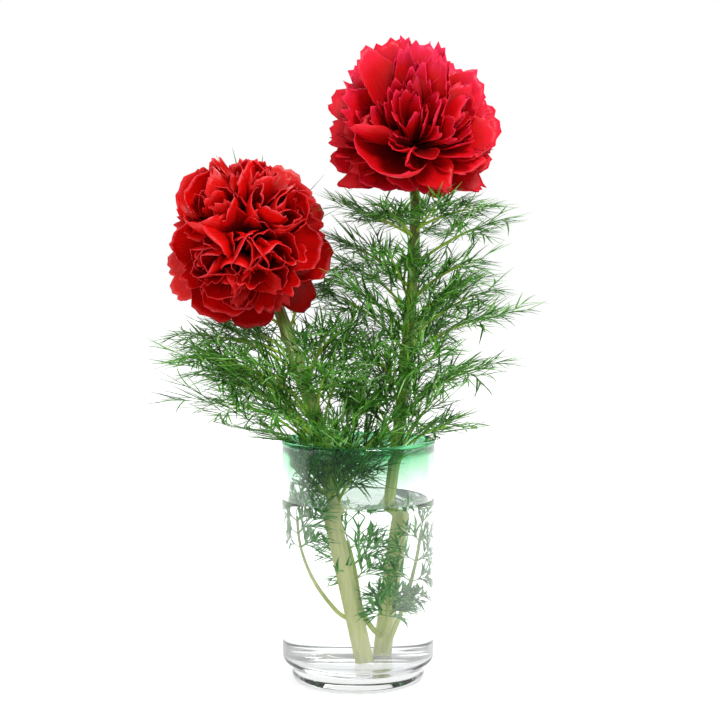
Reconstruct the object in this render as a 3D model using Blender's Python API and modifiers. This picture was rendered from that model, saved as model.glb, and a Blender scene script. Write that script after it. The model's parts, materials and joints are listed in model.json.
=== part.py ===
"""Two double fern-leaf peonies standing in a straight glass vase of water.

Frame: metres, +Z up. The origin is the centre of the vase's foot, on the surface that it stands on.
The taller flower leans towards +X and looks up. The lower flower leans towards -X and faces -Y.
"""

import math

import bmesh
import bpy
from mathutils import Matrix, Vector

MM = 0.001

# Driving dimensions of the vase, in metres
VASE_HEIGHT = 118 * MM
VASE_RADIUS = 37.5 * MM
WALL = 2.9 * MM
FOOT_RADIUS = 33.0 * MM
STEP_HEIGHT = 8.0 * MM
FLOOR_HEIGHT = 10.0 * MM
WATER_LEVEL = 88.5 * MM

# How far the room cut in the water for a stem starts below the stem, to open at the water's underside
BELOW_STEM = 4.0 * MM

# Clearances between touching pieces
GAP = 0.35 * MM
# How far the room cut in the water for a leaf runs on towards the room for its stem
ROOM_TO_STEM = 4.0 * MM

# Driving dimensions of the plants, in metres
TALL_STEM_RADIUS = 2.8 * MM
SHORT_STEM_RADIUS = 3.2 * MM
STEM_TAPER = 0.68
RECEPTACLE_RADIUS = 4.6 * MM
PETAL_THICKNESS = 1.3 * MM
PETAL_HALF_WIDTH = 14.5 * MM
# The share of its turn about the axis that a petal may fill
PETAL_ROOM = 0.9
PETIOLE_HALF_WIDTH = 1.4 * MM
BRANCH_HALF_WIDTH = 1.0 * MM
TWIG_HALF_WIDTH = 0.8 * MM
LEAF_THICKNESS = 1.4 * MM
LOBE_TAPER = 0.55

# How finely the curved pieces are divided
TURNED_STEPS = 40
RECEPTACLE_STEPS = 12
STRETCH_STEPS = 3
SHEET_STEPS = 24
PETAL_ROWS = 6
PETAL_COLUMNS = 4

# Stem routes, from the cut end on the vase's floor to just under the flower
TALL_ROUTE = (
    (8.0, 9.0, 11.0),
    (11.5, 8.5, 50.0),
    (16.0, 6.5, 90.0),
    (19.5, 5.0, 118.0),
    (24.0, 3.0, 160.0),
    (27.0, 1.5, 205.0),
    (27.6, 1.0, 238.0),
)
SHORT_ROUTE = (
    (2.5, -9.5, 11.2),
    (-4.5, -10.0, 50.0),
    (-11.5, -9.5, 88.0),
    (-17.5, -7.0, 118.0),
    (-29.0, 1.5, 152.0),
    (-40.0, 13.0, 182.0),
    (-46.5, 15.5, 196.0),
    (-48.4, 11.2, 201.8),
)

# Where each flower head sits, and the way that it looks
TALL_HEAD = ((27.8, 0.7, 243.0), (0.03, -0.08, 1.0))
SHORT_HEAD = ((-48.8, 7.0, 203.6), (-0.10, -0.94, 0.34))

# The three whorls of loose outer petals, from the outermost to the innermost. Each has a number of petals,
# a first turn in degrees, and the radius and height in millimetres of the four points that guide its
# outline, from the claw on the receptacle to the tip.
WHORLS = (
    (5, 0.0, ((6.2, 0.6), (20.0, -6.5), (33.0, -2.0), (40.0, 11.0))),
    (5, 36.0, ((6.2, 4.0), (24.0, 1.5), (35.0, 16.0), (36.5, 36.0))),
    (4, 20.0, ((6.2, 7.4), (21.0, 7.5), (29.5, 24.0), (31.0, 47.0))),
)
HEART_OUTLINE = (
    (0.0, 11.0),
    (9.0, 11.6),
    (17.0, 16.5),
    (24.0, 27.0),
    (28.0, 41.0),
    (28.5, 51.0),
    (24.0, 60.5),
    (14.0, 67.0),
    (0.0, 69.0),
)
HEART_LOBES = 9
HEART_LOBE_DEPTH = 0.07

# Leaves: node name, height on the stem, heading (0 is +X and 90 is +Y), rise at the stalk's foot,
# droop from foot to tip, length, and roll of the blade about its own midrib. Millimetres and degrees.
TALL_LEAVES = (
    ("leaf_tall_rim_right", 107, -4, 64, 78, 46, 10),
    ("leaf_tall_low_right", 128, 12, 50, 44, 66, -20),
    ("leaf_tall_low_front", 137, 285, 48, 40, 60, 15),
    ("leaf_tall_low_back", 146, 78, 50, 42, 64, -10),
    ("leaf_tall_mid_right", 158, -12, 42, 40, 66, 25),
    ("leaf_tall_mid_left", 168, 215, 52, 34, 48, -25),
    ("leaf_tall_mid_back", 178, 128, 48, 38, 58, 20),
    ("leaf_tall_high_front", 186, 325, 42, 32, 58, 10),
    ("leaf_tall_high_right", 203, 20, 42, 26, 56, -15),
    ("leaf_tall_top_back", 209, 92, 38, 26, 50, 0),
)
SHORT_LEAVES = (
    ("leaf_short_rim_left", 104, 184, 66, 68, 92, 20),
    ("leaf_short_rim_front", 106, 238, 64, 62, 72, -10),
    ("leaf_short_rim_back", 110, 128, 62, 60, 78, -20),
    ("leaf_short_low_left", 117, 167, 56, 32, 86, 12),
    ("leaf_short_low_front", 122, 262, 62, 50, 64, 20),
    ("leaf_short_mid_left", 131, 204, 47, 44, 82, 10),
    ("leaf_short_mid_back", 140, 112, 55, 40, 66, 10),
    ("leaf_short_mid_right", 147, 335, 68, 40, 44, -20),
    ("leaf_short_high_left", 156, 216, 34, 44, 62, -12),
    ("leaf_short_high_back", 168, 80, 48, 34, 56, 12),
)
# Young side leaves under the water. The last value says which stem they grow from.
WATER_LEAVES = (
    ("leaf_water_left", 34, 188, 61, 0, 40, 90, "short"),
    ("leaf_water_front", 37, 268, 42, 0, 25, 40, "tall"),
    ("leaf_water_middle", 22, 188, 77, 0, 50, 90, "tall"),
    ("leaf_water_right", 17, -36, 66, 0, 40, 86, "tall"),
)

# How a leaf divides: the bare stalk, a side branch and a twig, as shares of the leaf's length
FULL_LEAF = (0.46, 0.46, 0.20)
YOUNG_LEAF = (0.60, 0.30, 0.13)
BRANCH_ANGLE = 46
TWIG_ANGLE = 40


# ---------------------------------------------------------------- scene, materials and small helpers
def clear_scene():
    for obj in list(bpy.data.objects):
        bpy.data.objects.remove(obj)


def material(name, colour, roughness, alpha=1.0):
    made = bpy.data.materials.new(name)
    made.use_nodes = True
    shader = made.node_tree.nodes["Principled BSDF"]
    shader.inputs["Base Color"].default_value = (*colour, 1.0)
    shader.inputs["Roughness"].default_value = roughness
    shader.inputs["Metallic"].default_value = 0.0
    shader.inputs["Alpha"].default_value = alpha
    made.diffuse_color = (*colour, alpha)
    return made


def in_collection(name):
    made = bpy.data.collections.new(name)
    bpy.context.scene.collection.children.link(made)
    return made


def add_object(name, data, collection, finish=None):
    obj = bpy.data.objects.new(name, data)
    collection.objects.link(obj)
    if finish is not None:
        data.materials.append(finish)
    return obj


def add_cutter(name, data, collection):
    obj = add_object(name, data, collection)
    obj.hide_render = True
    obj.display_type = "WIRE"
    return obj


def smooth_route(points):
    """Points on a Catmull-Rom curve through the given ones, in metres."""
    guide = [Vector(p) * MM for p in points]
    padded = [2 * guide[0] - guide[1], *guide, 2 * guide[-1] - guide[-2]]
    route = []
    for a, b, c, d in zip(padded, padded[1:], padded[2:], padded[3:]):
        for i in range(STRETCH_STEPS):
            t = i / STRETCH_STEPS
            bow = (2 * a - 5 * b + 4 * c - d) * t**2 + (3 * b - a - 3 * c + d) * t**3
            route.append(0.5 * (2 * b + (c - a) * t + bow))
    route.append(guide[-1])
    return route


def bezier(points, t):
    """A point of the cubic curve that four guide points draw."""
    a, b, c, d = (Vector(p) for p in points)
    s = 1 - t
    return s**3 * a + 3 * s**2 * t * b + 3 * s * t**2 * c + t**3 * d


def frame_along(origin, axis):
    """A matrix whose local +Z is the axis, with local +Y kept as near to the world's +Y as it can be."""
    up = Vector(axis).normalized()
    across = Vector((0, 1, 0)).cross(up).normalized()
    back = up.cross(across)
    turned = Matrix((across, back, up)).transposed().to_4x4()
    return Matrix.Translation(Vector(origin) * MM) @ turned


# ---------------------------------------------------------------- vase and water
def turned_solid(name, outline, collection, finish, steps=TURNED_STEPS):
    """A closed body turned about Z. The outline runs down the outer side, from the axis or the rim."""
    mesh = bpy.data.meshes.new(name)
    edges = [(i, i + 1) for i in range(len(outline) - 1)]
    if outline[0][0] > 0:
        edges.append((len(outline) - 1, 0))
    mesh.from_pydata([(r, 0, z) for r, z in outline], edges, [])
    obj = add_object(name, mesh, collection, finish)
    turn = obj.modifiers.new("turn", "SCREW")
    turn.steps = turn.render_steps = steps
    turn.use_merge_vertices = True
    turn.merge_threshold = 1e-6
    return obj


def vase_outline():
    """Rim, outer wall, step and solid foot, then the floor inside and back up the inner wall."""
    lip = WALL / 2
    rim = [
        (VASE_RADIUS - lip + lip * math.cos(a), VASE_HEIGHT - lip + lip * math.sin(a))
        for a in (math.radians(d) for d in (90, 45, 0))
    ]
    outside = [
        (VASE_RADIUS, STEP_HEIGHT + 3.4 * MM),
        (VASE_RADIUS - 0.9 * MM, STEP_HEIGHT + 1.2 * MM),
        (VASE_RADIUS - 2.8 * MM, STEP_HEIGHT),
        (FOOT_RADIUS, STEP_HEIGHT - 1.2 * MM),
        (FOOT_RADIUS - 0.3 * MM, 2.2 * MM),
        (FOOT_RADIUS - 2.2 * MM, 0.0),
        (0.0, 0.0),
    ]
    slant = lip * math.cos(math.radians(45))
    inside = [
        (0.0, FLOOR_HEIGHT),
        (VASE_RADIUS - WALL - 5.0 * MM, FLOOR_HEIGHT),
        (VASE_RADIUS - WALL - 1.3 * MM, FLOOR_HEIGHT + 1.3 * MM),
        (VASE_RADIUS - WALL, FLOOR_HEIGHT + 5.0 * MM),
        (VASE_RADIUS - WALL, VASE_HEIGHT - lip),
        (VASE_RADIUS - lip - slant, VASE_HEIGHT - lip + slant),
    ]
    return rim + outside, inside


def add_vase(collection, finish):
    outer, inner = vase_outline()
    return turned_solid("vase", outer + inner, collection, finish)


def add_water(collection, finish):
    """The water fills the vase to its level, a gap away from the glass."""
    reach = VASE_RADIUS - WALL - GAP
    outline = [
        (0.0, WATER_LEVEL),
        (reach, WATER_LEVEL),
        (reach, FLOOR_HEIGHT + 5.0 * MM),
        (reach - 1.3 * MM, FLOOR_HEIGHT + 1.3 * MM + GAP),
        (reach - 5.0 * MM, FLOOR_HEIGHT + GAP),
        (0.0, FLOOR_HEIGHT + GAP),
    ]
    return turned_solid("water", outline, collection, finish)


def cut_from(obj, cutter):
    cut = obj.modifiers.new(f"room for {cutter.name}", "BOOLEAN")
    cut.operation = "DIFFERENCE"
    cut.solver = "EXACT"
    cut.object = cutter


# ---------------------------------------------------------------- leaves and other flat forked pieces
def edge_of(base, heading, length, half, share, side):
    """The point on one edge of a tapering lobe at a share of its length. Side is -1 for right, 1 for left."""
    along = Vector((math.cos(heading), math.sin(heading)))
    across = Vector((-along.y, along.x)) * side
    return base + along * length * share + across * half * (1 - LOBE_TAPER * share)


def lobe_outline(base, heading, length, half, twigs, extra=0.0):
    """The outline of a tapering lobe with its side twigs: up the right edge, round the tip, down the left.

    Twigs are (share of the length, angle in degrees, length, half width, twigs of its own), in pairs.
    """
    along = Vector((math.cos(heading), math.sin(heading)))
    outline = []
    for side, stations in ((-1, twigs), (1, twigs[::-1])):
        for share, angle, twig_length, twig_half, own in stations:
            turn = math.radians(angle)
            middle = share + extra / math.tan(turn) / length
            spread = side * (twig_half + extra) / math.sin(turn) / length
            root = edge_of(base, heading, length, half, share, side)
            enters = edge_of(base, heading, length, half + extra, middle + spread, side)
            leaves = edge_of(base, heading, length, half + extra, middle - spread, side)
            twig = lobe_outline(root, heading + side * turn, twig_length, twig_half, own, extra)
            outline += [enters, *twig[1:-1], leaves]
        if side < 0:
            tip_half = half * (1 - LOBE_TAPER) + extra
            tip = base + along * (length + extra)
            across = Vector((-along.y, along.x)) * tip_half
            outline += [tip - across, tip + across]
    across = Vector((-along.y, along.x)) * (half + extra)
    return [base - across, *outline, base + across]


def leaf_outline(length, form, extra=0.0):
    """A stalk with a pair of forked side branches and a pair of twigs: the plain form of a fern-like leaf."""
    stalk_share, branch_share, twig_share = form
    twig = ((0.5, TWIG_ANGLE, length * twig_share, TWIG_HALF_WIDTH, ()),)
    twigs = (
        (stalk_share, BRANCH_ANGLE, length * branch_share, BRANCH_HALF_WIDTH, twig),
        (stalk_share + (1 - stalk_share) * 0.45, TWIG_ANGLE, length * twig_share, TWIG_HALF_WIDTH, ()),
    )
    return lobe_outline(Vector((0, 0)), 0.0, length, PETIOLE_HALF_WIDTH, twigs, extra)


def add_bent_plate(name, outline, bend, thickness, collection, finish, cutter=False):
    """A closed plate with a flat outline, carried onto the curved sheet that bend gives."""
    mesh = bpy.data.meshes.new(name)
    shape = bmesh.new()
    face = shape.faces.new([shape.verts.new((*spot, 0.0)) for spot in outline])
    face.normal_update()
    bmesh.ops.triangulate(shape, faces=[face], ngon_method="EAR_CLIP")
    for vertex in shape.verts:
        vertex.co = bend(vertex.co.x, vertex.co.y)
    shape.to_mesh(mesh)
    shape.free()
    obj = add_cutter(name, mesh, collection) if cutter else add_object(name, mesh, collection, finish)
    shell = obj.modifiers.new("thickness", "SOLIDIFY")
    shell.thickness = thickness
    shell.offset = 0.0
    return obj


def drooping_sheet(foot, heading, rise, droop, length, roll):
    """The sheet that a leaf lies on: it leaves the stem steeply and arches over towards its tip."""
    level = Vector((math.cos(math.radians(heading)), math.sin(math.radians(heading)), 0))
    side = Vector((-level.y, level.x, 0))
    stretch = length / SHEET_STEPS
    spine = [Vector(foot)]
    ways = []
    for i in range(SHEET_STEPS + 1):
        pitch = math.radians(rise - droop * min(1.0, (i + 0.5) / SHEET_STEPS))
        way = level * math.cos(pitch) + Vector((0, 0, 1)) * math.sin(pitch)
        spine.append(spine[-1] + way * stretch)
        ways.append(way)

    def bend(along, across):
        i = max(0, min(SHEET_STEPS, int(along / stretch)))
        turned = Matrix.Rotation(math.radians(roll), 3, ways[i])
        return spine[i] + ways[i] * (along - i * stretch) + (turned @ side) * across

    return bend


def add_leaf(name, foot, shape, form, collection, finish, extra=0.0, cutter=False):
    """A leaf from its foot beside the stem. Shape is heading, rise, droop, length and roll."""
    heading, rise, droop, length, roll = shape
    bend = drooping_sheet(foot, heading, rise, droop, length * MM, roll)
    outline = leaf_outline(length * MM, form, extra)
    if cutter:
        into_stem = Vector((ROOM_TO_STEM, 0))
        outline = [outline[0] - into_stem, *outline[1:-1], outline[-1] - into_stem]
    return add_bent_plate(name, outline, bend, LEAF_THICKNESS + 2 * extra, collection, finish, cutter)


def point_at_height(route, height):
    """Where a stem's route passes a height, and how far along it that is, from 0 to 1."""
    for i, (a, b) in enumerate(zip(route, route[1:])):
        if a.z <= height <= b.z:
            share = (height - a.z) / (b.z - a.z)
            return a.lerp(b, share), (i + share) / (len(route) - 1)
    return route[-1], 1.0


def foot_of_leaf(route, radius, height, heading):
    """The leaf's first point: just off the stem's side at that height."""
    point, along = point_at_height(route, height * MM)
    level = Vector((math.cos(math.radians(heading)), math.sin(math.radians(heading)), 0))
    thick = radius * (1 - (1 - STEM_TAPER) * along)
    return point + level * (thick + LEAF_THICKNESS + GAP)


# ---------------------------------------------------------------- stems
def add_stem(name, route, radius, collection, finish, extra=0.0, cutter=False):
    """A round stem along its route, thinner towards the flower."""
    curve = bpy.data.curves.new(name, "CURVE")
    curve.dimensions = "3D"
    curve.bevel_depth = radius + extra
    curve.bevel_resolution = 2
    curve.use_fill_caps = True
    spline = curve.splines.new("POLY")
    spline.points.add(len(route) - 1)
    for i, (point, place) in enumerate(zip(spline.points, route)):
        point.co = (*place, 1.0)
        point.radius = 1 - (1 - STEM_TAPER) * i / (len(route) - 1)
    if not cutter:
        return add_object(name, curve, collection, finish)
    drawn = add_cutter(name, curve, collection)
    bpy.context.view_layer.update()
    solid = bpy.data.meshes.new_from_object(drawn.evaluated_get(bpy.context.evaluated_depsgraph_get()))
    bpy.data.objects.remove(drawn)
    shape = bmesh.new()
    shape.from_mesh(solid)
    bmesh.ops.remove_doubles(shape, verts=shape.verts, dist=1e-6)
    shape.to_mesh(solid)
    shape.free()
    return add_cutter(name, solid, collection)


# ---------------------------------------------------------------- flower heads
def petal_half_width(share, radius, count):
    """From a narrow claw to a broad, rounded tip, and never as wide as the room that its whorl leaves."""
    shape = math.sin(math.pi * (0.12 + 0.74 * share)) ** 1.3
    room = PETAL_ROOM * math.pi / count * radius - GAP
    return min(PETAL_HALF_WIDTH * shape, room)


def add_petal(name, guide, count, turn, frame, collection, finish):
    """A cupped petal: a strip of the surface that its whorl's outline sweeps about the flower's axis."""
    mesh = bpy.data.meshes.new(name)
    points, faces = [], []
    for i in range(PETAL_ROWS + 1):
        spot = bezier(guide, i / PETAL_ROWS) * MM
        spread = petal_half_width(i / PETAL_ROWS, spot.x, count) / spot.x
        for j in range(PETAL_COLUMNS + 1):
            angle = math.radians(turn) + spread * (2 * j / PETAL_COLUMNS - 1)
            points.append((spot.x * math.cos(angle), spot.x * math.sin(angle), spot.y))
    for i in range(PETAL_ROWS):
        for j in range(PETAL_COLUMNS):
            k = i * (PETAL_COLUMNS + 1) + j
            faces.append((k, k + 1, k + PETAL_COLUMNS + 2, k + PETAL_COLUMNS + 1))
    mesh.from_pydata(points, [], faces)
    obj = add_object(name, mesh, collection, finish)
    obj.matrix_world = frame
    shell = obj.modifiers.new("thickness", "SOLIDIFY")
    shell.thickness = PETAL_THICKNESS
    shell.offset = 0.0
    mesh.shade_smooth()
    return obj


def add_heart(name, frame, collection, finish):
    """The crowded inner petals, joined into one lobed dome."""
    columns = 4 * HEART_LOBES
    outline = [Vector(p) * MM for p in HEART_OUTLINE]
    shape = bmesh.new()
    bottom = shape.verts.new((0, 0, outline[0].y))
    top = shape.verts.new((0, 0, outline[-1].y))
    rings = []
    for spot in outline[1:-1]:
        ring = []
        for j in range(columns):
            angle = 2 * math.pi * j / columns
            reach = spot.x * (1 - HEART_LOBE_DEPTH * (1 - abs(math.cos(HEART_LOBES * angle / 2))))
            ring.append(shape.verts.new((reach * math.cos(angle), reach * math.sin(angle), spot.y)))
        rings.append(ring)
    for j in range(columns):
        k = (j + 1) % columns
        shape.faces.new((bottom, rings[0][k], rings[0][j]))
        for low, high in zip(rings, rings[1:]):
            shape.faces.new((low[j], low[k], high[k], high[j]))
        shape.faces.new((rings[-1][j], rings[-1][k], top))
    mesh = bpy.data.meshes.new(name)
    shape.to_mesh(mesh)
    shape.free()
    obj = add_object(name, mesh, collection, finish)
    obj.matrix_world = frame
    return obj


def add_calyx(name, frame, collection, finish):
    """The receptacle: a short turned knob that the petals spring from."""
    outline = [(0.0, 8.5 * MM), (3.2 * MM, 8.0 * MM), (RECEPTACLE_RADIUS, 4.0 * MM)]
    outline += [(RECEPTACLE_RADIUS, 0.5 * MM), (3.0 * MM, -3.0 * MM), (0.0, -3.6 * MM)]
    obj = turned_solid(name, outline, collection, finish, RECEPTACLE_STEPS)
    obj.matrix_world = frame
    return obj


def add_flower(label, head, collection, finishes):
    frame = frame_along(*head)
    red = finishes["petal"]
    add_calyx(f"calyx_{label}", frame, collection, finishes["sepal"])
    for name, (count, first, guide) in zip(("guard", "outer", "inner"), WHORLS):
        for i in range(count):
            turn = first + 360 * i / count
            add_petal(f"petal_{label}_{name}_{i + 1}", guide, count, turn, frame, collection, red)
    add_heart(f"petal_heart_{label}", frame, collection, red)


# ---------------------------------------------------------------- the whole object
def main():
    clear_scene()
    parts = in_collection("peonies_in_glass_vase")
    cutters = in_collection("cutters")
    finishes = {
        "glass": material("clear_glass", (0.86, 0.95, 0.92), 0.05, 0.35),
        "water": material("water", (0.90, 0.96, 0.97), 0.02, 0.25),
        "petal": material("petal_red", (0.50, 0.004, 0.008), 0.45),
        "sepal": material("sepal_green", (0.10, 0.22, 0.04), 0.55),
        "stem": material("stem_green", (0.33, 0.46, 0.11), 0.5),
        "leaf": material("leaf_green", (0.05, 0.17, 0.04), 0.5),
    }
    routes = {"tall": smooth_route(TALL_ROUTE), "short": smooth_route(SHORT_ROUTE)}
    thick = {"tall": TALL_STEM_RADIUS, "short": SHORT_STEM_RADIUS}

    add_vase(parts, finishes["glass"])
    water = add_water(parts, finishes["water"])
    for label, route in routes.items():
        add_stem(f"stem_{label}", route, thick[label], parts, finishes["stem"])
        below = [route[0] - Vector((0, 0, BELOW_STEM)), *route]
        cut_from(water, add_stem(f"cutter_stem_{label}", below, thick[label], cutters, None, GAP, True))

    for label, leaves in (("tall", TALL_LEAVES), ("short", SHORT_LEAVES)):
        for name, height, heading, rise, droop, length, roll in leaves:
            foot = foot_of_leaf(routes[label], thick[label], height, heading)
            shape = (heading, rise, droop, length, roll)
            add_leaf(name, foot, shape, FULL_LEAF, parts, finishes["leaf"])
    for name, height, heading, rise, droop, length, roll, label in WATER_LEAVES:
        foot = foot_of_leaf(routes[label], thick[label], height, heading)
        shape = (heading, rise, droop, length, roll)
        add_leaf(name, foot, shape, YOUNG_LEAF, parts, finishes["leaf"])
        cut_from(water, add_leaf(f"cutter_{name}", foot, shape, YOUNG_LEAF, cutters, None, GAP, True))

    add_flower("tall", TALL_HEAD, parts, finishes)
    add_flower("short", SHORT_HEAD, parts, finishes)


main()
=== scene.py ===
# %% [markdown]
# # Two fern-leaf peonies in a glass vase
#
# This lesson dresses a plain model of two cut peonies in a vase of water. The plain model is loaded as a fixed
# frame, in metres, with the origin under the middle of the vase. Everything made here stands in its place:
# glass that was blown and cut by hand, still water, ribbed stems, leaves as fine as dill, and ruffled petals.

# %% Load the frame
import math
import json
import random

import bmesh
import bpy
from mathutils import Matrix, Vector

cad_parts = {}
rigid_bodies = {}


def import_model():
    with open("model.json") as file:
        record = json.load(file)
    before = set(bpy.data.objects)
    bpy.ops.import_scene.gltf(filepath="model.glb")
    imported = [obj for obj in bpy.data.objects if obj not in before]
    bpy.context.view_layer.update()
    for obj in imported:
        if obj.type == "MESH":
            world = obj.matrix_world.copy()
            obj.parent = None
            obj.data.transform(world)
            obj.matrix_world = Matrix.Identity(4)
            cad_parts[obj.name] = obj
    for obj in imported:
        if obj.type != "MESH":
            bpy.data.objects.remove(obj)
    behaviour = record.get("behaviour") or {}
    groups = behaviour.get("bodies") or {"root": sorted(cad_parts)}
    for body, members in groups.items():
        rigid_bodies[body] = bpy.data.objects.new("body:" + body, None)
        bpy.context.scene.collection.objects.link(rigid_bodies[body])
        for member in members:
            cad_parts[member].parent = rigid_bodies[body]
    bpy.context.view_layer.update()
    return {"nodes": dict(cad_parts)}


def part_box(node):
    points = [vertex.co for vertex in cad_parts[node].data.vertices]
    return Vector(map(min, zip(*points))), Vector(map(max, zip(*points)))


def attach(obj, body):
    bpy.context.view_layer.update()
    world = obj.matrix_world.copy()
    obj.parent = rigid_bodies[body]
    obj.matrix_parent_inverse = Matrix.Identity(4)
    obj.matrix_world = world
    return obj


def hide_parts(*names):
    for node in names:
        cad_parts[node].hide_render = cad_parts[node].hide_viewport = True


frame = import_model()
MM = 0.001
print("nodes in the frame:", len(frame["nodes"]))


# %% [markdown]
# ## Helpers for node trees
#
# Materials and Geometry Nodes are both trees of nodes. Written one node at a time they are long and hard to read,
# so a small class wraps a socket, and arithmetic on it adds the Math nodes. `1 - mask` then reads as it should.
# One more method adds any other node from its type, what goes into its sockets and its settings. What every finish
# needs is written once, in a class of its own.

# %% A socket that does sums, a tree that makes nodes, and a finish
class Wire:
    """An output socket of a node tree. Sums on it add Math nodes."""

    def __init__(self, tree, socket):
        self.tree, self.socket = tree, socket

    def math(self, operation, *others):
        return self.tree.math(operation, self, *others)

    def __add__(self, other):
        return self.math("ADD", other)

    def __sub__(self, other):
        return self.math("SUBTRACT", other)

    def __mul__(self, other):
        return self.math("MULTIPLY", other)

    def __truediv__(self, other):
        return self.math("DIVIDE", other)

    def __pow__(self, other):
        return self.math("POWER", other)

    def __rsub__(self, other):
        return self.tree.math("SUBTRACT", other, self)

    __radd__ = __add__
    __rmul__ = __mul__

    def clamped(self):
        return self.math("MAXIMUM", 0.0).math("MINIMUM", 1.0)

    def stretch(self, low, high):
        """0 at low and below, 1 at high and above, and a straight line between."""
        return ((self - low) / (high - low)).clamped()

    def part(self, axis):
        """The X, Y or Z of a vector."""
        return self.tree.node("ShaderNodeSeparateXYZ", {"Vector": self}, axis)


class Tree:
    """A node tree of either kind, with one method that adds any node."""

    def __init__(self, nodes_and_links):
        self.tree = nodes_and_links

    def node(self, kind, inputs=None, out=0, **settings):
        made = self.tree.nodes.new(kind)
        for name, value in settings.items():
            setattr(made, name, value)
        for name, value in (inputs or {}).items():
            self.feed(self.socket_of(made.inputs, name), value)
        return Wire(self, self.socket_of(made.outputs, out))

    @staticmethod
    def socket_of(sockets, name):
        if isinstance(name, int):
            return sockets[name]
        return next(s for s in sockets if s.enabled and s.name == name)

    def feed(self, socket, value):
        if isinstance(value, Wire):
            self.tree.links.new(value.socket, socket)
        else:
            socket.default_value = value

    def math(self, operation, *values):
        return self.node("ShaderNodeMath", dict(enumerate(values)), operation=operation)

    def vector(self, x, y, z):
        return self.node("ShaderNodeCombineXYZ", {"X": x, "Y": y, "Z": z})

    def mix(self, share, first, second):
        """A colour between two colours."""
        first, second = (end if isinstance(end, Wire) else (*end, 1.0) for end in (first, second))
        return self.node("ShaderNodeMix", {"Factor": share, "A": first, "B": second}, "Result", data_type="RGBA")


class Finish(Tree):
    """A Principled material. Values that are the same all over go straight on the shader's own sockets."""

    def __init__(self, name, **constants):
        self.material = bpy.data.materials.new(name)
        self.material.use_nodes = True
        super().__init__(self.material.node_tree)
        self.shader = self.tree.nodes["Principled BSDF"]
        for socket, value in constants.items():
            self.shader.inputs[socket.replace("_", " ")].default_value = value

    def place(self):
        """Where a point lies on its piece."""
        return self.node("ShaderNodeTexCoord", out="Object")

    def carried(self, name):
        """A number that the mesh carries."""
        return self.node("ShaderNodeAttribute", out="Fac", attribute_name=name)

    def noise(self, where, scale, detail=2.0):
        return self.node("ShaderNodeTexNoise", {"Vector": where, "Scale": scale, "Detail": detail}, "Fac")

    def paint(self, colour, relief=None, strength=0.0, depth=0.0):
        """Lays on the colour, and a bump where a relief is given."""
        self.feed(self.shader.inputs["Base Color"], colour)
        if relief:
            bump = self.node("ShaderNodeBump", {"Strength": strength, "Distance": depth, "Height": relief})
            self.feed(self.shader.inputs["Normal"], bump)
        return self.material


# %% [markdown]
# ## The camera, the light and the floor
#
# The bouquet stands on white, in soft daylight, with hardly any shadow. The camera is a little above the middle
# of the flowers and looks slightly down. A white world gives the even light, one large soft lamp from the upper
# right models the petals, and a weaker one from the left keeps the shadows open. Clear glass shows only what it
# bends, so the world is a little darker to the sides: that is what draws the edges of the vase. Glass also mirrors
# what is in front of it, as a veil over what stands inside. The paper in front of the vase is therefore dark
# in its mirror images alone: it looks white and it lights the flowers as white paper does.

# %% Camera
CAMERA_PLACE = (0.00085, -0.650, 0.196)
CAMERA_TILT_DOWN = 3.48
camera_data = bpy.data.cameras.new("camera")
camera_data.lens = 66.5
camera_data.sensor_width = 36.0
camera = bpy.data.objects.new("camera", camera_data)
camera.location = CAMERA_PLACE
camera.rotation_euler = (math.radians(90 - CAMERA_TILT_DOWN), 0, 0)
bpy.context.scene.collection.objects.link(camera)
bpy.context.scene.camera = camera
bpy.context.scene.view_settings.view_transform = "Standard"
print("camera", CAMERA_PLACE, "lens", camera_data.lens)

# %% World and lamps
def add_lamp(name, place, size, power):
    """A round soft lamp that looks at the middle of the flowers."""
    data = bpy.data.lights.new(name, "AREA")
    data.shape, data.size, data.energy = "DISK", size, power
    lamp = bpy.data.objects.new(name, data)
    lamp.location = place
    lamp.rotation_euler = (FLOWER_MIDDLE - Vector(place)).to_track_quat("-Z", "Y").to_euler()
    bpy.context.scene.collection.objects.link(lamp)


world = bpy.data.worlds.new("white room")
world.use_nodes = True
bpy.context.scene.world = world
room = Tree(world.node_tree)
ray = room.node("ShaderNodeTexCoord", out="Generated")
sideways = ray.part("X")
front_and_back = room.mix(ray.part("Y").stretch(-0.2, 0.5), (0.46,) * 3, (0.90,) * 3)
room_colour = room.mix((sideways * sideways).stretch(0.45, 0.95) * 0.6, front_and_back, (0.38, 0.41, 0.42))
seen = room.node("ShaderNodeLightPath", out="Is Camera Ray")
background = world.node_tree.nodes["Background"]
room.feed(background.inputs["Color"], room.mix(seen, room_colour, (1.0,) * 3))
background.inputs["Strength"].default_value = 1.0

FLOWER_MIDDLE = Vector((-0.01, 0.0, 0.21))
add_lamp("window upper right", (0.35, -0.60, 1.05), 0.4, 11.0)
add_lamp("soft fill left", (-0.8, -0.6, 0.45), 0.6, 1.6)
add_lamp("sky behind", (0.15, 0.6, 0.85), 0.6, 2.5)

# %% The paper that it stands on
PAPER_HALF = 6.0
PAPER_SINK = 0.0002
floor_mesh = bpy.data.meshes.new("floor")
corners = [(x * PAPER_HALF, y * PAPER_HALF, 0) for x, y in ((-1, -1), (1, -1), (1, 1), (-1, 1))]
floor_mesh.from_pydata(corners, [], [(0, 1, 2, 3)])
floor = bpy.data.objects.new("floor", floor_mesh)
floor.location.z = -PAPER_SINK
bpy.context.scene.collection.objects.link(floor)
paper = Finish("white paper", Roughness=0.9, Emission_Strength=0.60)
from_camera = paper.node("ShaderNodeLightPath", out="Is Camera Ray")
softened = paper.node("ShaderNodeLightPath", out="Diffuse Depth").clamped()
in_front = (0 - paper.place().part("Y")).stretch(0.09, 0.16)
dark = (1 - from_camera) * (1 - softened) * in_front
paper.feed(paper.shader.inputs["Emission Color"], paper.mix(dark, (1.0,) * 3, (0.08,) * 3))
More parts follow.
